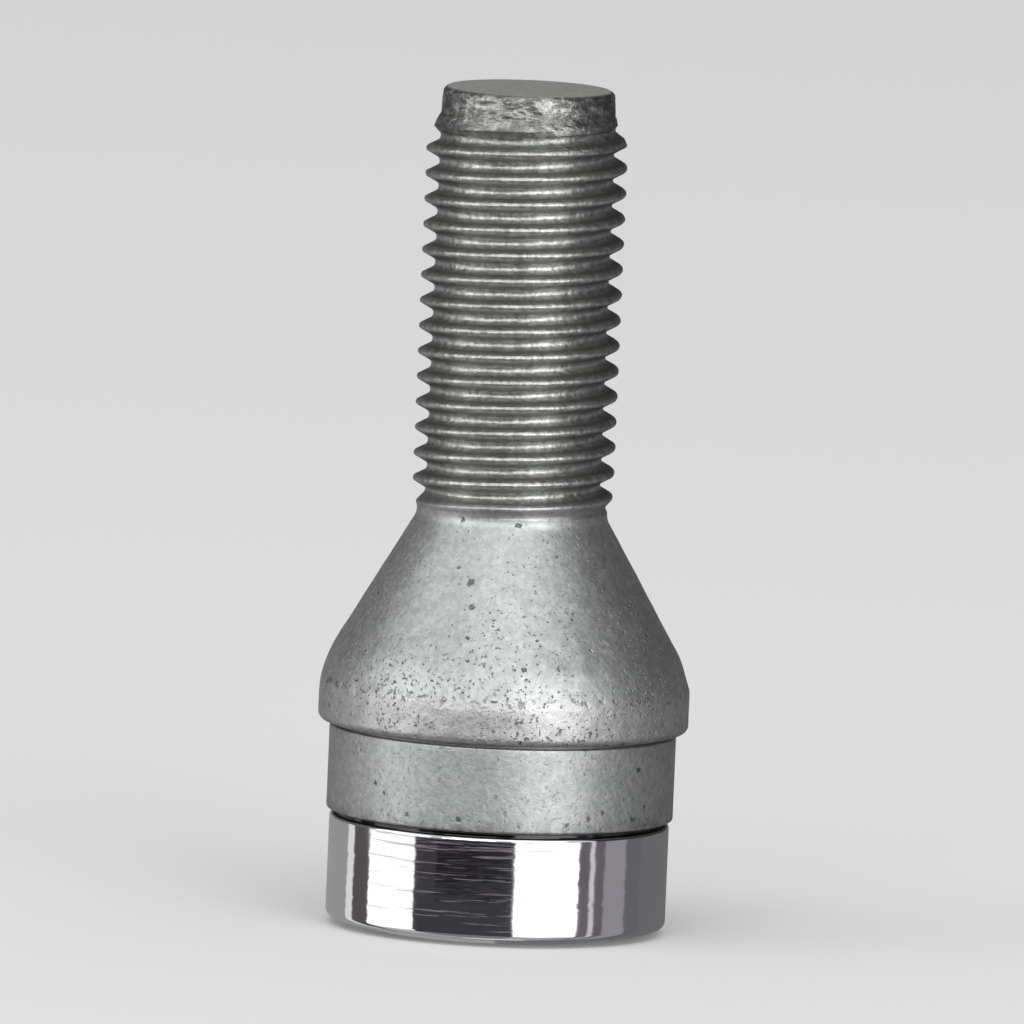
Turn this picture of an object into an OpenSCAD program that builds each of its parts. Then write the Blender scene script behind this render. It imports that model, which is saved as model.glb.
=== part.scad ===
// Locking wheel bolt with a cone seat, M12 x 1.5.
// The bolt stands on its head: the head's face is at z = 0 and the thread points up.
// All lengths are in millimetres.

/* [Head] */
// Diameter of the plated part of the head
head_d = 20; // [18:0.1:22]
// Height of the plated part of the head
head_h = 6.8; // [4:0.1:9]
// Diameter of the flat middle of the head's face
face_d = 15.8; // [14:0.1:17]
// Height of the shallow bevel from the flat face to the rim
bevel_h = 0.45; // [0.2:0.05:0.8]
// Radius of the rim's round edge
rim_round = 0.4; // [0.2:0.05:0.8]
// Width of the groove where the plating ends
groove_w = 0.3; // [0.15:0.05:0.6]
// Depth of the groove where the plating ends
groove_depth = 0.4; // [0.2:0.05:0.8]

/* [Key groove] */
// Mean radius of the closed wavy groove
key_r = 4.9; // [4.4:0.1:5.2]
// Width of the wavy groove
key_w = 1.8; // [1:0.1:2.2]
// Depth of the wavy groove
key_depth = 4; // [2:0.1:5]
// How far the wave swings to each side of its mean radius
key_wave = 0.9; // [0.3:0.05:1.1]

/* [Band and lip] */
// Diameter of the smooth band above the plating
band_d = 20.4; // [18:0.1:23]
// Height of the smooth band
band_h = 5.2; // [3:0.1:8]
// Size of the small bevels on the band's two edges
band_bevel = 0.12; // [0.05:0.01:0.3]
// Width of the fine groove between the band and the lip
step_w = 0.2; // [0.1:0.05:0.4]
// Depth of the fine groove between the band and the lip
step_depth = 0.2; // [0.1:0.05:0.4]
// Diameter of the lip, the widest place of the bolt
lip_d = 21.8; // [20.8:0.1:24]
// Height of the lip, up to where its side would meet the cone
lip_h = 3.2; // [2.2:0.1:4]
// Radius of the lip's edge next to the band
lip_edge_round = 0.45; // [0.2:0.05:0.7]
// Radius of the wide, soft edge between the lip and the cone
lip_cone_round = 6; // [2:0.1:8]

/* [Seat and neck] */
// Full angle of the cone seat in degrees
seat_angle = 60; // [50:1:75]
// Diameter of the plain neck
neck_d = 11.2; // [10.8:0.05:11.6]
// Radius of the hollow between the cone and the neck
neck_round = 1; // [0.5:0.1:1.1]
// Length of the neck, from the cone to the first thread
neck_len = 0.4; // [0.4:0.1:4]

/* [Thread] */
// Nominal diameter of the thread
thread_d = 12; // [11.8:0.05:12.4]
// Pitch of the thread
pitch = 1.5; // [1:0.05:1.75]
// How much smaller than nominal the crests are, in diameter
thread_play = 0.15; // [0:0.01:0.3]
// Length of the shank, from the cone to the end of the tip
shank_len = 25.3; // [16:0.1:45]
// Length of the plain tip
tip_len = 1.5; // [1.2:0.1:3]
// Diameter of the plain tip at its end
tip_d = 10.1; // [8.6:0.1:10.1]
// Radius of the round edge at the end of the tip
tip_round = 0.4; // [0.2:0.05:0.9]
// How fast the first crests grow out of the tip, in radius for each millimetre of height
crest_growth = 0.45; // [0.3:0.05:1]

/* [Hidden] */
$fn = 96;
round_steps = 8;

head_r = head_d / 2;
band_r = band_d / 2;
lip_r = lip_d / 2;
neck_r = neck_d / 2;
half_angle = seat_angle / 2;

// Heights of the places where one form ends and the next one starts.
band_z = head_h + band_h;
lip_z = band_z + lip_h;
cone_end_z = lip_z + (lip_r - neck_r) / tan(half_angle);
thread_z = cone_end_z + neck_len;
end_z = cone_end_z + shank_len;

// A 60 degree thread with a crest flat of an eighth of the pitch and a root flat of a quarter.
// Both are rounded, as rolling leaves them: soft is how far a flat's rounding reaches down its
// flank. All four are shares of the pitch.
crest_flat = 1 / 8;
root_flat = 1 / 4;
flank = (1 - crest_flat - root_flat) / 2;
soft = 0.03;
crest_r = (thread_d - thread_play) / 2;
root_r = crest_r - flank * pitch / tan(30);
soft_drop = soft * pitch / tan(30);
// The rows of the thread's surface, each [place along one pitch, radius].
thread_rows = [
    [0, crest_r],
    [crest_flat / 2 + soft, crest_r - soft_drop],
    [(1 - root_flat) / 2 - soft, root_r + soft_drop],
    [1 / 2, root_r],
    [(1 + root_flat) / 2 + soft, root_r + soft_drop],
    [1 - crest_flat / 2 - soft, crest_r - soft_drop]
];
pitch_rows = len(thread_rows);
thread_sides = 36;
// The thread's core lies just under the neck, so that the neck's end closes over it. The crests
// and roots grow out of it over the runout.
core_r = neck_r - 0.02;
runout = 0.7 * pitch;

// The helix runs on for a pitch past each end of the thread, where its surface is plain.
// seam is the height of the strip that closes it to a flat ring.
seam = 0.1;
tip_z = end_z - tip_len;
tip_ring_z = end_z - tip_round;
turns = ceil((tip_z - thread_z) / pitch) + 1;
first_row_z = tip_z - turns * pitch;
rows = pitch_rows * turns;

function polar(r, a) = [r * cos(a), r * sin(a)];

// Points of an arc about centre c, from angle a to angle b.
function arc(c, r, a, b) =
    [for (i = [0:round_steps]) c + polar(r, a + (b - a) * i / round_steps)];

// Centre line of the key groove: an uneven wave around the head's axis.
function key_line(a) =
    polar(key_r + key_wave * (0.6 * cos(3 * a + 25) + 0.4 * cos(5 * a - 70)), a);

// Point of the groove's wall, at distance d outside the centre line.
function key_wall(a, d) =
    let (along = key_line(a + 1) - key_line(a - 1))
    key_line(a) + d * [along.y, -along.x] / norm(along);

module key_outline(d) {
    polygon([for (a = [0:5:355]) key_wall(a, d)]);
}

module key_groove() {
    translate([0, 0, -1])
        linear_extrude(key_depth + 1)
            difference() {
                key_outline(key_w / 2);
                key_outline(-key_w / 2);
            }
}

// Half section of everything that is turned, from the head's face to the end of the neck.
module turned_section() {
    rim = arc([head_r - rim_round, bevel_h + rim_round], rim_round, -90, 0);
    plating_groove = [
        [head_r, head_h - groove_w],
        [head_r - groove_depth, head_h - groove_w],
        [head_r - groove_depth, head_h],
        [band_r - band_bevel, head_h]
    ];
    band = [
        [band_r, head_h + band_bevel],
        [band_r, band_z - step_w - band_bevel],
        [band_r - band_bevel, band_z - step_w]
    ];
    step_groove = [
        [band_r - step_depth, band_z - step_w],
        [band_r - step_depth, band_z]
    ];
    lip_edge = arc([lip_r - lip_edge_round, band_z + lip_edge_round], lip_edge_round, -90, 0);
    lip_cone_z = lip_z - lip_cone_round * tan(half_angle / 2);
    lip_to_cone = arc([lip_r - lip_cone_round, lip_cone_z], lip_cone_round, 0, half_angle);
    neck_z = cone_end_z + neck_round * tan(half_angle / 2);
    cone_to_neck = arc([neck_r + neck_round, neck_z], neck_round, 180 + half_angle, 180);
    polygon(concat(
        [[0, 0], [face_d / 2, 0]],
        rim, plating_groove, band, step_groove, lip_edge, lip_to_cone, cone_to_neck,
        [[neck_r, thread_z], [0, thread_z]]
    ));
}

// Radius that the tip leaves at height z: a slim cone, then a bevel across the first threads.
function tip_cone(z) =
    z > tip_z
        ? tip_d / 2 + (root_r - tip_d / 2) * (tip_ring_z - z) / (tip_ring_z - tip_z)
        : root_r + crest_growth * (tip_z - z);

// How far the thread has risen out of the neck at height z, from 0 to 1.
function risen(z) = min(1, max(0, (z - thread_z) / runout));

function thread_r(row, z) =
    min(tip_cone(z), core_r + risen(z) * (thread_rows[row % pitch_rows][1] - core_r));

// The helix's last pitch lies on the plain tip, and is squeezed to fit under the tip's ring.
function squeezed(z) =
    z < tip_z ? z : tip_z + (z - tip_z) * (tip_ring_z - seam - tip_z) / pitch;

// Point of the right-hand helix of one row, at one of the thread's sides.
function thread_point(side, row) =
    let (
        place = floor(row / pitch_rows) + thread_rows[row % pitch_rows][0] + side / thread_sides,
        z = squeezed(first_row_z + place * pitch)
    )
    [each polar(thread_r(row, z), 360 * side / thread_sides), z];

function ring(r, z) =
    [for (side = [0:thread_sides - 1]) [each polar(r, 360 * side / thread_sides), z]];

// The thread's surface is a strip of rows wound around the axis. After one turn a row runs on
// as the row one pitch further up, so side 0 holds one pitch of rows more than the others.
module thread() {
    tip_arc = arc([tip_d / 2 - tip_round, tip_ring_z], tip_round, 0, 90);
    points = concat(
        [for (row = [0:rows + pitch_rows]) thread_point(0, row)],
        [for (side = [1:thread_sides - 1], row = [0:rows]) thread_point(side, row)],
        ring(core_r, first_row_z - seam),
        [for (p = tip_arc) each ring(p.x, p.y)]
    );
    side_start = rows + pitch_rows + 1;
    ring_start = side_start + (thread_sides - 1) * (rows + 1);
    function at(side, row) =
        side == 0 ? row
        : side == thread_sides ? row + pitch_rows
        : side_start + (side - 1) * (rows + 1) + row;
    function on_ring(n, side) = ring_start + n * thread_sides + side % thread_sides;
    function fan(from, chain) =
        [for (i = [0:len(chain) - 2]) [from, chain[i], chain[i + 1]]];
    last = thread_sides - 1;
    sides = [for (side = [0:last], row = [0:rows - 1])
        each fan(at(side, row), [at(side, row + 1), at(side + 1, row + 1), at(side + 1, row)])];
    foot = [for (side = [0:last])
        each fan(at(side, 0), side < last
            ? [at(side + 1, 0), on_ring(0, side + 1), on_ring(0, side)]
            : [each [pitch_rows:-1:0], on_ring(0, 0), on_ring(0, last)])];
    collar = [for (side = [0:last])
        each fan(at(side + 1, rows), side > 0
            ? [at(side, rows), on_ring(1, side), on_ring(1, side + 1)]
            : [each [rows:rows + pitch_rows], on_ring(1, 0), on_ring(1, 1)])];
    tip = [for (n = [1:round_steps], side = [0:last])
        each fan(on_ring(n, side),
            [on_ring(n + 1, side), on_ring(n + 1, side + 1), on_ring(n, side + 1)])];
    caps = [
        [for (side = [0:last]) on_ring(0, side)],
        [for (side = [0:last]) on_ring(round_steps + 1, last - side)]
    ];
    polyhedron(points, concat(sides, foot, collar, tip, caps));
}

module wheel_bolt() {
    color("silver") {
        difference() {
            rotate_extrude() turned_section();
            key_groove();
        }
        thread();
    }
}

wheel_bolt();
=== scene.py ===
import math

import bmesh
import bpy
from mathutils import Matrix, Vector, noise


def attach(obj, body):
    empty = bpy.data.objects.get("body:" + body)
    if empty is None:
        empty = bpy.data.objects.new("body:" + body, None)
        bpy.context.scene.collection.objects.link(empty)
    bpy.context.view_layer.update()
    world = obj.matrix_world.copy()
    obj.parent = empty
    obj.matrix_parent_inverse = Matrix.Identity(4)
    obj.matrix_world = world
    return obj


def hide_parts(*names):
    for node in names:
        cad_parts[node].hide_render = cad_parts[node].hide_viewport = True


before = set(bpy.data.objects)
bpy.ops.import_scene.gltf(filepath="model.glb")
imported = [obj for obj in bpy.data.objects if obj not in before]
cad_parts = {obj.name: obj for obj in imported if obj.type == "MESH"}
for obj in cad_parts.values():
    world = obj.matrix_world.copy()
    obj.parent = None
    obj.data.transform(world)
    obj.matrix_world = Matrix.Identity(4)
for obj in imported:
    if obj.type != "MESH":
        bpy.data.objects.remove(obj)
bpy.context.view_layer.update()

# A wheel bolt that stands on its plated head, with its thread up.
# The pieces are modelled in millimetres and scaled to metres when they are finished.
MM = 0.001
TURN = 2 * math.pi

# The plated head, and the groove where its plating ends.
FACE_R = 7.9
HEAD_R = 10.0
HEAD_H = 6.8
BEVEL_H = 0.45
RIM_ROUND = 0.4
PLATING_END = 6.5
PLATING_ROUND = 0.22
GROOVE_R = 9.6
# The two pieces meet at this height, under the groove.
PARTING_Z = 6.65

# The key groove, a closed wave cut into the head's face, and the ring around the face's middle.
KEY_R = 4.9
KEY_HALF = 0.9
KEY_WAVE = 0.9
KEY_DEPTH = 4.0
KEY_MOUTH = 0.15
ISLAND_R = 1.2

# The band, the step groove above it, the forged lip and the cone seat.
BAND_R = 10.2
BAND_TOP = 11.8
BAND_BEVEL = 0.12
STEP_R = 10.0
LIP_R = 10.9
LIP_Z = 12.0
LIP_EDGE_ROUND = 0.45
LIP_TOP = 14.5
CONE_Z = 15.2
LIP_CONE_ROUND = 6.0
CONE_END_Z = 24.38

# The neck and the plain tip.
NECK_R = 5.6
NECK_ROUND = 1.0
TIP_R = 5.05
TIP_Z = 48.18
TIP_ROUND = 0.4
TIP_RING_Z = 49.28
END_Z = 49.68

# The thread.
THREAD_Z = 24.78
PITCH = 1.5
RUNOUT = 1.05
CREST_R = 5.925
ROOT_R = 5.113
CREST_HALF = 0.12
ROOT_HALF = PITCH / 8
CREST_ROUND = 0.2
ROOT_ROUND = 0.27
CREST_GROWTH = 0.45

# How far the surfaces left by forging, rolling and wear swell and dent, and how far down from
# the tip the thread is worn.
FORGED_WAVE = 0.03
FORGED_DENT = 0.012
LIP_SWELL = 0.035
LIP_DENT = 0.05
ROLLED_DENT = 0.03
WORN_DENT = 0.055
WORN_LEN = 3.0

# Pits in the cone and the band: degrees to the right of the front, radius, height and width.
PITS = [
    (-17.5, 7.44, 21.2, 0.62),
    (-15.0, 8.22, 19.85, 0.46),
    (-19.0, 8.9, 18.0, 0.3),
    (52.0, BAND_R, 10.4, 0.45),
    (-32.0, BAND_R, 7.5, 0.4),
    (-13.5, BAND_R, 7.5, 0.38),
    (-46.0, BAND_R, 9.1, 0.38),
    (-42.0, BAND_R, 8.6, 0.32),
    (23.0, BAND_R, 7.3, 0.38),
    (31.0, BAND_R, 7.7, 0.44),
    (36.5, BAND_R, 8.0, 0.34),
    (50.0, BAND_R, 7.5, 0.42),
    (56.0, BAND_R, 8.2, 0.36),
]
# Noise makes the outlines of pits and specks ragged. It moves them by this much on average, in
# metres.
RAGGED_SHIFT = Vector((0.00018, 0.00018, 0.00018))

# Faces around everything that is turned, and around one turn of the thread.
TURNED_STEPS = 240
THREAD_STEPS = 120
ROUND_STEPS = 8
# The longest edges along the sections of the two turned meshes.
HEAD_EDGE = 0.5
BODY_EDGE = 0.3
SHARP_ANGLE = math.radians(38)


def section(bm, corners, segments=ROUND_STEPS):
    """Draws a half section from (radius, height, rounding) corners."""
    verts = [bm.verts.new((r, 0, z)) for r, z, _ in corners]
    for pair in zip(verts, verts[1:]):
        bm.edges.new(pair)
    for vert, (_, _, rounding) in zip(verts, corners):
        if rounding:
            one, two = (edge.other_vert(vert).co - vert.co for edge in vert.link_edges)
            reach = rounding / math.tan(one.angle(two) / 2)
            bmesh.ops.bevel(bm, geom=[vert], offset=reach, offset_type="OFFSET",
                            affect="VERTICES", segments=segments, profile=0.5,
                            material=-1)


def divide(bm, longest):
    """Cuts the edges of a section so that none is longer than the given length."""
    for edge in bm.edges[:]:
        cuts = math.ceil(edge.calc_length() / longest) - 1
        if cuts > 0:
            bmesh.ops.subdivide_edges(bm, edges=[edge], cuts=cuts)


def revolve(bm):
    """Turns a section all the way around the axis."""
    bmesh.ops.spin(bm, geom=bm.verts[:] + bm.edges[:], cent=(0, 0, 0), axis=(0, 0, 1),
                   angle=TURN, steps=TURNED_STEPS, use_merge=True)
    bmesh.ops.remove_doubles(bm, verts=bm.verts[:], dist=1e-4)


def open_edges(bm, test=lambda z: True):
    """The edges that only one face has, at the heights that pass a test."""
    return [edge for edge in bm.edges if edge.is_boundary and test(edge.verts[0].co.z)]


def finish_piece(bm, name, material):
    """Turns a closed mesh into a piece of the bolt, in metres."""
    bmesh.ops.recalc_face_normals(bm, faces=bm.faces[:])
    bmesh.ops.scale(bm, vec=(MM, MM, MM), verts=bm.verts[:])
    mesh = bpy.data.meshes.new(name)
    bm.to_mesh(mesh)
    bm.free()
    mesh.shade_smooth()
    mesh.set_sharp_from_angle(angle=SHARP_ANGLE)
    mesh.materials.append(material)
    piece = bpy.data.objects.new(name, mesh)
    bpy.context.collection.objects.link(piece)
    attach(piece, "root")
    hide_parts("wheel_bolt")


# ---- The plated head ----

def key_line(angle):
    """A place on the middle of the key groove, whose wave is uneven."""
    wave = 0.6 * math.cos(3 * angle + math.radians(25))
    wave += 0.4 * math.cos(5 * angle - math.radians(70))
    radius = KEY_R + KEY_WAVE * wave
    return Vector((radius * math.cos(angle), radius * math.sin(angle), 0))


def key_place(angle, offset, z):
    """A place at a distance outside the middle of the key groove, and at a height."""
    beside = 0.02
    along = key_line(angle + beside) - key_line(angle - beside)
    outwards = Vector((along.y, -along.x, 0)).normalized()
    return key_line(angle) + offset * outwards + Vector((0, 0, z))


def grow_rim(bm, edges):
    """Extrudes a ring of open edges, and gives the new ring's edges and vertices."""
    grown = bmesh.ops.extrude_edge_only(bm, edges=edges)["geom"]
    edges = [item for item in grown if isinstance(item, bmesh.types.BMEdge)
             and item.is_boundary]
    return edges, {vert for edge in edges for vert in edge.verts}


def close_face(bm):
    """Closes the head's face, with the key groove in it, ring by ring towards the axis."""
    around = bm.verts.layers.float.new("around")
    edges = open_edges(bm)
    for vert in {vert for edge in edges for vert in edge.verts}:
        vert[around] = math.atan2(vert.co.y, vert.co.x)
    for offset, z in (
        (KEY_HALF + KEY_MOUTH, 0),
        (KEY_HALF, KEY_MOUTH),
        (KEY_HALF, KEY_DEPTH),
        (-KEY_HALF, KEY_DEPTH),
        (-KEY_HALF, KEY_MOUTH),
        (-KEY_HALF - KEY_MOUTH, 0),
    ):
        edges, verts = grow_rim(bm, edges)
        for vert in verts:
            vert.co = key_place(vert[around], offset, z)
    edges, verts = grow_rim(bm, edges)
    for vert in verts:
        vert.co = ISLAND_R * Vector((math.cos(vert[around]), math.sin(vert[around]), 0))
    bmesh.ops.edgeloop_fill(bm, edges=edges)
    bm.verts.layers.float.remove(around)


def plated_head(material):
    bm = bmesh.new()
    section(bm, [
        (FACE_R, 0, 0),
        (HEAD_R, BEVEL_H, RIM_ROUND),
        (HEAD_R, PLATING_END, PLATING_ROUND),
        (GROOVE_R, PLATING_END, 0),
        (GROOVE_R, PARTING_Z, 0),
        (0, PARTING_Z, 0),
    ])
    divide(bm, HEAD_EDGE)
    revolve(bm)
    close_face(bm)
    finish_piece(bm, "plated_head", material)


# ---- The coated body ----

def tip_cone(z):
    """Radius that the tip leaves: a slim cone, then a bevel across the first threads."""
    if z > TIP_Z:
        return TIP_R + (ROOT_R - TIP_R) * (TIP_RING_Z - z) / (TIP_RING_Z - TIP_Z)
    return ROOT_R + CREST_GROWTH * (TIP_Z - z)


def shape_thread(bm):
    """Lets the thread rise out of the neck, cuts it back at the tip, and dents it a little."""
    for vert in bm.verts:
        radius = vert.co.xy.length
        risen = min(1, max(0, (vert.co.z - THREAD_Z) / RUNOUT))
        wanted = min(NECK_R + risen * (radius - NECK_R), tip_cone(vert.co.z))
        worn = min(1, max(0, (vert.co.z - TIP_Z + WORN_LEN) / WORN_LEN))
        dent = noise.noise(vert.co * 1.5) * ROLLED_DENT * risen
        dent += noise.noise(vert.co * 2.4) * WORN_DENT * worn
        vert.co.xy *= (wanted + dent) / radius


def thread(bm):
    """A right-hand thread: one pitch of its section, wound up around the axis."""
    spare_turns = 3
    turns = math.ceil((TIP_Z - THREAD_Z) / PITCH) + spare_turns
    start = TIP_Z - (turns - 1) * PITCH
    section(bm, [
        (CREST_R, start, 0),
        (CREST_R, start + CREST_HALF, CREST_ROUND),
        (ROOT_R, start + PITCH / 2 - ROOT_HALF, ROOT_ROUND),
        (ROOT_R, start + PITCH / 2 + ROOT_HALF, ROOT_ROUND),
        (CREST_R, start + PITCH - CREST_HALF, CREST_ROUND),
        (CREST_R, start + PITCH, 0),
    ], segments=5)
    bmesh.ops.spin(bm, geom=bm.verts[:] + bm.edges[:], cent=(0, 0, 0), axis=(0, 0, 1),
                   dvec=(0, 0, PITCH / THREAD_STEPS), angle=TURN, steps=THREAD_STEPS)
    one_turn = bm.verts[:] + bm.edges[:] + bm.faces[:]
    for turn in range(1, turns):
        copy = bmesh.ops.duplicate(bm, geom=one_turn)["geom"]
        verts = [item for item in copy if isinstance(item, bmesh.types.BMVert)]
        bmesh.ops.translate(bm, vec=(0, 0, turn * PITCH), verts=verts)
    bmesh.ops.remove_doubles(bm, verts=bm.verts[:], dist=1e-3)
    shape_thread(bm)
    for z, up in ((THREAD_Z - 0.05, -1), (TIP_RING_Z, 1)):
        bmesh.ops.bisect_plane(bm, geom=bm.verts[:] + bm.edges[:] + bm.faces[:], dist=1e-4,
                               plane_co=(0, 0, z), plane_no=(0, 0, up), clear_outer=True)


def round_tip(bm):
    """Closes the top with a rounded edge and a flat end."""
    edges = open_edges(bm, lambda z: z > TIP_RING_Z - 0.01)
    for step in range(ROUND_STEPS):
        edges, verts = grow_rim(bm, edges)
        here, there = (math.pi / 2 * (step + n) / ROUND_STEPS for n in (0, 1))
        shrink = ((TIP_R - TIP_ROUND + TIP_ROUND * math.cos(there))
                  / (TIP_R - TIP_ROUND + TIP_ROUND * math.cos(here)))
        rise = TIP_ROUND * (math.sin(there) - math.sin(here))
        for vert in verts:
            vert.co.xy *= shrink
            vert.co.z += rise
    bmesh.ops.edgeloop_fill(bm, edges=edges)


def forged_skin(bm):
    """Makes the lip and the cone slightly uneven, as forging leaves them."""
    for vert in bm.verts:
        radius, z = vert.co.xy.length, vert.co.z
        if not LIP_Z < z < CONE_END_Z:
            continue
        fade = min(1, (z - LIP_Z) / 0.8, (CONE_END_Z - z) / 3)
        lip_edge = max(0, 1 - abs(z - LIP_TOP) / 0.7)
        bump = noise.noise(vert.co * 0.8) * FORGED_WAVE
        bump += noise.noise(vert.co * 2.1) * FORGED_DENT
        bump += lip_edge * (LIP_SWELL + noise.noise(vert.co * 1.6) * LIP_DENT)
        vert.co.xy *= 1 + fade * bump / radius


def coated_body(material):
    bm = bmesh.new()
    section(bm, [
        (0, PARTING_Z, 0),
        (GROOVE_R, PARTING_Z, 0),
        (GROOVE_R, HEAD_H, 0),
        (BAND_R, HEAD_H, BAND_BEVEL),
        (BAND_R, BAND_TOP, BAND_BEVEL),
        (STEP_R, BAND_TOP, 0),
        (STEP_R, LIP_Z, 0),
        (LIP_R, LIP_Z, LIP_EDGE_ROUND),
        (LIP_R, CONE_Z, LIP_CONE_ROUND),
        (NECK_R, CONE_END_Z, NECK_ROUND),
        (NECK_R, THREAD_Z - 0.1, 0),
    ])
    divide(bm, BODY_EDGE)
    revolve(bm)
    forged_skin(bm)
    threads = bmesh.new()
    thread(threads)
    wound = bpy.data.meshes.new("wound_thread")
    threads.to_mesh(wound)
    threads.free()
    bm.from_mesh(wound)
    bpy.data.meshes.remove(wound)
    bmesh.ops.bridge_loops(bm, edges=open_edges(bm, lambda z: z < THREAD_Z))
    round_tip(bm)
    finish_piece(bm, "coated_body", material)


# ---- Materials ----

class Nodes:
    """Adds nodes to a material and links their inputs."""

    def __init__(self, name):
        self.material = bpy.data.materials.new(name)
        self.material.use_nodes = True
        self.tree = self.material.node_tree
        self.shader = self.tree.nodes["Principled BSDF"]
        self.coords = self.add("ShaderNodeTexCoord").outputs["Object"]

    def add(self, kind, inputs=None, **settings):
        node = self.tree.nodes.new(kind)
        for name, value in settings.items():
            setattr(node, name, value)
        for name, value in (inputs or {}).items():
            self.feed(node.inputs[name], value)
        return node

    def feed(self, socket, value):
        if isinstance(value, bpy.types.NodeSocket):
            self.tree.links.new(value, socket)
        else:
            socket.default_value = value

    def math(self, operation, *values):
        return self.add("ShaderNodeMath", dict(enumerate(values)), operation=operation).outputs[0]

    def noise(self, scale, detail=3.0, roughness=0.55, vector=None):
        node = self.add("ShaderNodeTexNoise", {
            "Vector": vector or self.coords, "Scale": scale, "Detail": detail,
            "Roughness": roughness})
        return node.outputs["Fac"]

    def ramp(self, value, low, high, to_low=0.0, to_high=1.0):
        node = self.add("ShaderNodeMapRange", {
            "Value": value, "From Min": low, "From Max": high,
            "To Min": to_low, "To Max": to_high})
        return node.outputs["Result"]

    def ridge(self, value, low, high):
        """1 in the middle between two values, falling to 0 at both."""
        away = self.math("ABSOLUTE", self.ramp(value, low, high, -1.0, 1.0))
        return self.math("SUBTRACT", 1.0, away)

    def drawn_out(self, share):
        """The piece's coordinates, with a pattern drawn out sideways by 1 / share."""
        node = self.add("ShaderNodeVectorMath", {0: self.coords, 1: (share, share, 1.0)},
                        operation="MULTIPLY")
        return node.outputs["Vector"]

    def mix(self, factor, one, two):
        node = self.add("ShaderNodeMix", data_type="RGBA")
        self.feed(node.inputs[0], factor)
        self.feed(node.inputs[6], one)
        self.feed(node.inputs[7], two)
        return node.outputs[2]

    def bump(self, height, distance, strength=1.0, under=None):
        inputs = {"Height": height, "Distance": distance, "Strength": strength}
        if under:
            inputs["Normal"] = under
        return self.add("ShaderNodeBump", inputs).outputs["Normal"]


def chrome_plating():
    """Bright plating over a turned surface, whose fine rings still show."""
    n = Nodes("chrome_plating")
    height = n.add("ShaderNodeSeparateXYZ", {"Vector": n.coords}).outputs["Z"]
    wide_rings = n.noise(1250, detail=1.0, vector=n.drawn_out(0.07))
    fine_rings = n.noise(4600, detail=2.0, vector=n.drawn_out(0.05))
    orange_peel = n.noise(700, detail=2.0)
    smears = n.noise(260, detail=4.0)
    ring_depth = n.ramp(height, 1.0 * MM, 5.0 * MM, 0.00008, 0.00005)
    normal = n.bump(wide_rings, ring_depth)
    normal = n.bump(fine_rings, 0.000013, under=normal)
    normal = n.bump(orange_peel, 0.000006, under=normal)
    # Painted shade: the plating turns near black in the groove where it ends.
    plating_groove_shade = n.ramp(height, (PLATING_END - 0.02) * MM, PLATING_END * MM)
    colour = n.mix(plating_groove_shade, (0.8, 0.8, 0.815, 1), (0.07, 0.07, 0.072, 1))
    n.feed(n.shader.inputs["Base Color"], colour)
    n.shader.inputs["Metallic"].default_value = 1.0
    n.feed(n.shader.inputs["Roughness"], n.ramp(smears, 0.45, 0.75, 0.06, 0.12))
    n.feed(n.shader.inputs["Normal"], normal)
    return n.material


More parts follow.
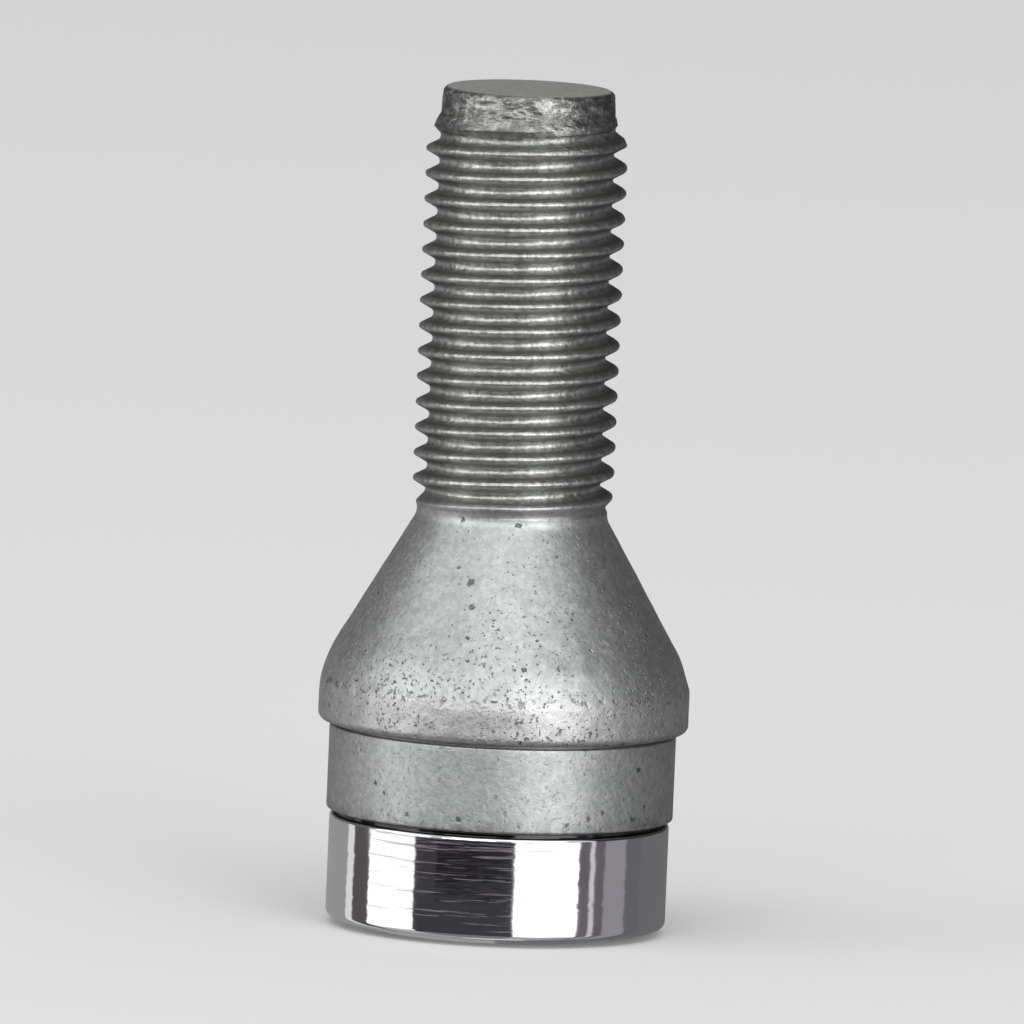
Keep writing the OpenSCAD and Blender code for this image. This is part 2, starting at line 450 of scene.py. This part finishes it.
def flake_coating():
    """A satin zinc flake coat, pitted on the forged surfaces, with painted shade in the thread.
    """
    n = Nodes("flake_coating")
    place = n.add("ShaderNodeSeparateXYZ", {"Vector": n.coords})
    height = place.outputs["Z"]
    across = n.add("ShaderNodeCombineXYZ", {
        "X": place.outputs["X"], "Y": place.outputs["Y"]}).outputs["Vector"]
    radius = n.add("ShaderNodeVectorMath", {0: across}, operation="LENGTH").outputs["Value"]

    # Where each surface lies: 1 on it, and 0 elsewhere.
    threaded = n.ramp(height, (THREAD_Z - 0.3) * MM, (THREAD_Z + 1.2) * MM)
    forged = n.math("MULTIPLY", n.ramp(height, (LIP_Z - 0.1) * MM, LIP_Z * MM),
                    n.math("SUBTRACT", 1.0, threaded))
    near_groove = n.ramp(height, (HEAD_H + 2.0) * MM, HEAD_H * MM)
    groove_wall_shade = n.math("MULTIPLY", n.ramp(radius, (STEP_R + 0.04) * MM, (STEP_R - 0.02) * MM),
                         n.ramp(height, (LIP_Z + 0.1) * MM, LIP_Z * MM))
    flank = n.ridge(radius, (ROOT_R + 0.1) * MM, (CREST_R - 0.1) * MM)
    tip_side = n.math("MULTIPLY", n.ramp(height, (TIP_Z - 2.5) * MM, TIP_Z * MM),
                      n.ramp(height, END_Z * MM, (END_Z - 0.2) * MM, 0.3, 1.0))
    end_face = n.ramp(height, (END_Z - 0.08) * MM, (END_Z - 0.02) * MM)

    # Noises, and the places whose outlines follow them.
    grain = n.noise(4200, detail=4.0, roughness=0.7)
    patches = n.noise(620, detail=6.0, roughness=0.7)
    clusters = n.noise(230, detail=2.0)
    lumps = n.noise(1500, detail=3.0)
    creases = n.noise(2300, detail=4.0, roughness=0.62, vector=n.drawn_out(0.4))
    ragged_height = n.math("MULTIPLY_ADD", n.noise(1300, detail=3.0), 1.6 * MM, height)
    lip_edge = (LIP_TOP + 0.8) * MM
    under_edge = n.ramp(ragged_height, lip_edge + 0.2 * MM, lip_edge - 0.15 * MM)
    lip = n.math("MULTIPLY", forged, under_edge)
    seam = n.ridge(ragged_height, lip_edge - 0.3 * MM, lip_edge + 0.4 * MM)
    tip_ring = n.ridge(ragged_height, (TIP_Z + 0.4) * MM, (TIP_Z + 1.3) * MM)

    # Specks, dust, crumbs along the lip's edge, and pits: 1 where the coat is dark.
    ragged = n.add("ShaderNodeVectorMath", {
        0: n.add("ShaderNodeTexNoise", {"Vector": n.coords, "Scale": 3800.0}).outputs["Color"],
        1: 2 * RAGGED_SHIFT, 2: n.coords}, operation="MULTIPLY_ADD").outputs["Vector"]
    speck_cells = n.add("ShaderNodeTexVoronoi", {"Vector": ragged, "Scale": 1500.0})
    picked = n.add("ShaderNodeSeparateColor", {"Color": speck_cells.outputs["Color"]})
    rarity = n.ramp(clusters, 0.35, 0.65, 0.85, 0.3)
    chosen = n.math("GREATER_THAN", picked.outputs["Red"], rarity)
    size = n.ramp(n.math("POWER", picked.outputs["Green"], 3.0), 0, 1, 0.07, 0.27)
    inside = n.math("SUBTRACT", size, speck_cells.outputs["Distance"])
    specks = n.math("MULTIPLY", chosen, n.ramp(inside, 0.0, 0.08))
    dusty = n.math("ADD", n.ramp(clusters, 0.3, 0.7, 0.69, 0.61),
                   n.ramp(height, LIP_Z * MM, CONE_END_Z * MM, -0.06, 0.04))
    dust = n.ramp(n.math("SUBTRACT", n.noise(4300, detail=2.0), dusty), 0.0, 0.12, 0.0, 0.9)
    specks = n.math("MAXIMUM", specks, dust)
    crumbs = n.math("MULTIPLY", n.math("MULTIPLY", seam, forged), n.ramp(lumps, 0.5, 0.62))
    specks = n.math("MAXIMUM", specks, n.math("MULTIPLY", crumbs, 0.8))
    exposed = n.math("MAXIMUM", n.ramp(forged, 0, 1, 0.5, 1.0), near_groove)
    specks = n.math("MULTIPLY", specks, exposed)
    for degrees, r, z, width in PITS:
        angle = math.radians(degrees)
        middle = Vector((r * math.sin(angle), -r * math.cos(angle), z)) * MM
        away = n.add("ShaderNodeVectorMath", {0: ragged, 1: middle + RAGGED_SHIFT},
                     operation="DISTANCE").outputs["Value"]
        specks = n.math("MAXIMUM", specks, n.ramp(away, width * MM / 2, width * MM / 4))

    # Colour, from the plain coat to the dark places.
    colour = n.mix(n.ramp(grain, 0.3, 0.7), (0.41, 0.42, 0.41, 1), (0.58, 0.595, 0.585, 1))
    colour = n.mix(n.ramp(patches, 0.42, 0.62, 0.0, 0.4), colour, (0.35, 0.37, 0.365, 1))
    mottle = n.ramp(n.noise(2300, detail=4.0, roughness=0.6), 0.42, 0.62, 0.0, 0.45)
    colour = n.mix(mottle, colour, (0.3, 0.315, 0.31, 1))
    rubbed = n.math("MULTIPLY", lip, n.ramp(lumps, 0.35, 0.6, 0.1, 0.5))
    colour = n.mix(rubbed, colour, (0.6, 0.595, 0.59, 1))
    colour = n.mix(n.math("MULTIPLY", specks, 0.75), colour, (0.05, 0.055, 0.05, 1))
    # Patchy darkening along the lower edges of the band and the lip.
    low_edges = n.math(
        "MAXIMUM", n.ramp(height, (HEAD_H + 0.9) * MM, HEAD_H * MM),
        n.math("MULTIPLY", forged, n.ramp(height, (LIP_Z + 0.5) * MM, LIP_Z * MM)))
    low_edge_darkening = n.math("MULTIPLY", n.ramp(lumps, 0.35, 0.65), low_edges)
    colour = n.mix(n.math("MULTIPLY", low_edge_darkening, 0.7), colour, (0.16, 0.165, 0.16, 1))
    # Painted light in the thread: painted shade darkens the flanks, and the crests and roots are
    # lighter as painted highlights, which noise breaks up.
    thread_shade_and_highlight = n.mix(flank, (0.53, 0.54, 0.515, 1), (0.15, 0.155, 0.143, 1))
    highlight_breaks = n.ramp(n.noise(2400, detail=4.0, roughness=0.65), 0.42, 0.6, 0.0, 0.75)
    thread_shade_and_highlight = n.mix(highlight_breaks, thread_shade_and_highlight, (0.2, 0.205, 0.19, 1))
    colour = n.mix(n.math("MULTIPLY", threaded, 0.85), colour, thread_shade_and_highlight)
    # Painted shade: near black on the walls of the step groove under the lip and of the groove
    # above the plating.
    colour = n.mix(groove_wall_shade, colour, (0.07, 0.07, 0.07, 1))
    # Painted shade in the creases of the rolled tip.
    crease_shade = n.math("MULTIPLY", tip_side, n.ramp(creases, 0.56, 0.44, 0.2, 0.95))
    colour = n.mix(crease_shade, colour, (0.13, 0.135, 0.128, 1))
    colour = n.mix(n.math("MULTIPLY", tip_ring, 0.6), colour, (0.16, 0.165, 0.155, 1))
    colour = n.mix(n.math("MULTIPLY", end_face, 0.6), colour, (0.6, 0.61, 0.59, 1))

    # Roughness, and relief with bump distances in metres.
    roughness = n.ramp(grain, 0.3, 0.7, 0.38, 0.5)
    roughness = n.math("SUBTRACT", roughness, n.math("MULTIPLY", threaded, 0.1))
    roughness = n.math("MULTIPLY_ADD", end_face, 0.3, roughness)
    roughness = n.math("SUBTRACT", roughness, n.math("MULTIPLY", lip, 0.02))
    skin = n.math("MAXIMUM", n.math("MULTIPLY", lip, 0.000045),
                  n.ramp(forged, 0, 1, 0.000008, 0.000028))
    skin = n.math("MAXIMUM", skin, n.math("MULTIPLY", threaded, 0.00005))
    normal = n.bump(grain, 0.00002, strength=0.8)
    normal = n.bump(lumps, skin, under=normal)
    normal = n.bump(n.noise(3100, detail=3.0), 0.000045, strength=threaded, under=normal)
    normal = n.bump(creases, 0.00018, strength=tip_side, under=normal)
    pitted = n.ramp(forged, 0, 1, 0.3, 1.0)
    normal = n.bump(specks, -0.00005, strength=pitted, under=normal)

    n.feed(n.shader.inputs["Base Color"], colour)
    n.shader.inputs["Metallic"].default_value = 0.92
    n.shader.inputs["Specular Tint"].default_value = (0.6, 0.6, 0.6, 1)
    n.feed(n.shader.inputs["Roughness"], roughness)
    n.feed(n.shader.inputs["Normal"], normal)
    return n.material


plated_head(chrome_plating())
coated_body(flake_coating())

# ---- Studio ----

PALE = (0.7, 0.7, 0.7, 1)


def glow(name, shade):
    """A material that shines at a plain level. A shade is a colour and a strength."""
    material = bpy.data.materials.new(name)
    material.use_nodes = True
    tree = material.node_tree
    tree.nodes.remove(tree.nodes["Principled BSDF"])
    shine = tree.nodes.new("ShaderNodeEmission")
    shine.inputs["Color"].default_value = (*shade[:3], 1)
    shine.inputs["Strength"].default_value = shade[3]
    tree.links.new(shine.outputs[0], tree.nodes["Material Output"].inputs["Surface"])
    material.cycles.emission_sampling = "NONE"
    return material


def reflector(name, start, end, bottom, top, shade, distance=1.0):
    """A curved panel around the bolt that only reflections show.

    Its ends are degrees to the right of the camera, and its edges are heights in metres.
    """
    bm = bmesh.new()
    begin = math.radians(start)
    foot = Vector((distance * math.sin(begin), -distance * math.cos(begin), bottom))
    verts = [bm.verts.new(foot), bm.verts.new(foot + Vector((0, 0, top - bottom)))]
    edge = bm.edges.new(verts)
    bmesh.ops.spin(bm, geom=verts + [edge], cent=(0, 0, 0), axis=(0, 0, 1),
                   angle=math.radians(end - start), steps=max(2, round((end - start) / 2)))
    mesh = bpy.data.meshes.new(name)
    bm.to_mesh(mesh)
    bm.free()
    mesh.materials.append(glow(name, shade))
    made = bpy.data.objects.new(name, mesh)
    bpy.context.collection.objects.link(made)
    made.visible_camera = made.visible_diffuse = made.visible_shadow = False
    made.visible_transmission = made.visible_volume_scatter = False


def softbox(name, azimuth, elevation, distance, width, height, power):
    """A rectangular lamp that looks at the foot of the bolt.

    Its azimuth is in degrees to the right of the camera, and its power in watts.
    """
    lamp = bpy.data.lights.new(name, "AREA")
    lamp.shape = "RECTANGLE"
    lamp.size, lamp.size_y, lamp.energy = width, height, power
    made = bpy.data.objects.new(name, lamp)
    bpy.context.collection.objects.link(made)
    a, e = math.radians(azimuth), math.radians(elevation)
    back = Vector((math.sin(a) * math.cos(e), -math.cos(a) * math.cos(e), math.sin(e)))
    made.location = back * distance
    made.rotation_euler = back.to_track_quat("Z", "Y").to_euler()
    made.visible_camera = False


def floor():
    """A wide floor. The metal sees the pale background in its place."""
    bm = bmesh.new()
    bmesh.ops.create_grid(bm, x_segments=1, y_segments=1, size=4)
    mesh = bpy.data.meshes.new("floor")
    bm.to_mesh(mesh)
    bm.free()
    material = bpy.data.materials.new("floor")
    material.use_nodes = True
    shader = material.node_tree.nodes["Principled BSDF"]
    shader.inputs["Base Color"].default_value = PALE
    shader.inputs["Roughness"].default_value = 0.9
    shader.inputs["Specular IOR Level"].default_value = 0.0
    mesh.materials.append(material)
    made = bpy.data.objects.new("floor", mesh)
    bpy.context.collection.objects.link(made)
    made.visible_glossy = False


def surroundings(fill):
    """Soft light from all sides, behind a background that the camera and the metal see."""
    world = bpy.data.worlds.new("studio")
    bpy.context.scene.world = world
    world.use_nodes = True
    tree = world.node_tree
    tree.nodes.clear()
    path = tree.nodes.new("ShaderNodeLightPath")
    seen = path.outputs["Is Camera Ray"]
    for other in ("Is Glossy Ray", "Is Transmission Ray"):
        either = tree.nodes.new("ShaderNodeMath")
        either.operation = "MAXIMUM"
        tree.links.new(seen, either.inputs[0])
        tree.links.new(path.outputs[other], either.inputs[1])
        seen = either.outputs[0]
    shades = []
    for colour, strength in (((1, 1, 1, 1), fill), (PALE, 1.0)):
        shade = tree.nodes.new("ShaderNodeBackground")
        shade.inputs["Color"].default_value = colour
        shade.inputs["Strength"].default_value = strength
        shades.append(shade)
    mixed = tree.nodes.new("ShaderNodeMixShader")
    out = tree.nodes.new("ShaderNodeOutputWorld")
    tree.links.new(seen, mixed.inputs[0])
    tree.links.new(shades[0].outputs[0], mixed.inputs[1])
    tree.links.new(shades[1].outputs[0], mixed.inputs[2])
    tree.links.new(mixed.outputs[0], out.inputs["Surface"])


floor()
surroundings(0.72)
softbox("front_softbox", -3, 52, 2.0, 1.9, 1.9, 10.6)
softbox("left_softbox", -75, 27, 2.0, 1.3, 1.2, 4.5)
softbox("right_softbox", 33, 24, 2.0, 1.1, 1.0, 4.2)
softbox("low_left_softbox", -62, 13, 2.0, 1.0, 0.4, 4.6)
softbox("low_middle_softbox", -20, 13, 2.0, 1.3, 0.4, 5.8)
softbox("low_right_softbox", 27, 13, 2.0, 1.2, 0.4, 8.6)

# The plating mirrors these. Together they reach from far below the floor to high above the bolt.
LOW, HIGH = -5.0, 0.1
reflector("reflector_back_left", -180, -123, LOW, HIGH, (1, 0.99, 1, 0.33))
reflector("reflector_left_edge", -123, -114.6, LOW, HIGH, (1, 1, 1, 0.8))
reflector("reflector_left_dark", -114.6, -97.3, LOW, HIGH, (1, 0.9, 0.95, 0.1))
reflector("reflector_left_white", -97.3, -57.8, -0.4, -0.05, (1, 1, 1, 1.4))
reflector("reflector_left_top", -97.3, -57.8, -0.05, HIGH, (1, 1, 1, 0.7))
reflector("reflector_left_low", -97.3, -57.8, LOW, -0.4, (1, 0.98, 1, 0.5))
reflector("reflector_front_low", -57.8, 12, LOW, -0.22, (1, 0.93, 1, 0.22))
reflector("reflector_front_left", -57.8, -42, -0.22, -0.05, (1, 0.88, 1, 0.05))
reflector("reflector_front_black", -42, -14, -0.22, -0.05, (1, 0.88, 1, 0.018))
reflector("reflector_front_right", -14, 12, -0.22, -0.05, (1, 0.9, 1, 0.024))
reflector("reflector_front_grey", -57.8, 12, -0.05, HIGH, (1, 0.93, 1.05, 0.22))
reflector("reflector_right_white", 12, 57, -0.4, -0.02, (1, 1, 1, 1.9))
reflector("reflector_right_top", 12, 57, -0.02, HIGH, (1, 1, 1, 0.8))
reflector("reflector_right_low", 12, 57, LOW, -0.4, (1, 0.98, 1, 0.45))
reflector("reflector_near", -49.9, 10.3, -0.012, 0, (0.97, 0.93, 1, 0.052), distance=0.035)
reflector("reflector_right_dark", 57, 66, LOW, HIGH, (1, 0.9, 1, 0.14))
reflector("reflector_right_line", 66, 69.8, LOW, HIGH, (1, 0.95, 1, 0.7))
reflector("reflector_right_edge", 69.8, 77.8, LOW, HIGH, (1, 0.92, 1, 0.14))
reflector("reflector_right_grey", 77.8, 97.5, LOW, HIGH, (0.96, 0.93, 1, 0.32))
reflector("reflector_right_far", 97.5, 114, LOW, HIGH, (0.96, 0.95, 1, 0.15))
reflector("reflector_back_right", 114, 180, LOW, HIGH, (1, 0.97, 1, 0.16))
reflector("reflector_high_right", 72, 180, HIGH, 3.5, (1, 1, 1, 0.04))
reflector("reflector_high_left", 180, 260, HIGH, 3.5, (1, 1, 1, 0.14))

# ---- Camera ----

# Degrees above the floor, and degrees that the bolt leans to the right in the picture.
ELEVATION = 6.5
LEAN = 2.4
# Metres from the camera to the bolt's middle, and millimetres across the picture there.
DISTANCE = 1.9
FRAME_MM = 60.2
AIM = Vector((0, 0, 24.6 * MM))

camera = bpy.data.objects.new("camera", bpy.data.cameras.new("camera"))
bpy.context.collection.objects.link(camera)
bpy.context.scene.camera = camera
camera.data.lens = camera.data.sensor_width * DISTANCE / (FRAME_MM * MM)
tilt = math.radians(ELEVATION)
camera.location = AIM + DISTANCE * Vector((0, -math.cos(tilt), math.sin(tilt)))
look = (camera.location - AIM).to_track_quat("Z", "Y").to_matrix().to_4x4()
camera.rotation_euler = (look @ Matrix.Rotation(math.radians(LEAN), 4, "Z")).to_euler()

bpy.context.scene.view_settings.view_transform = "Standard"
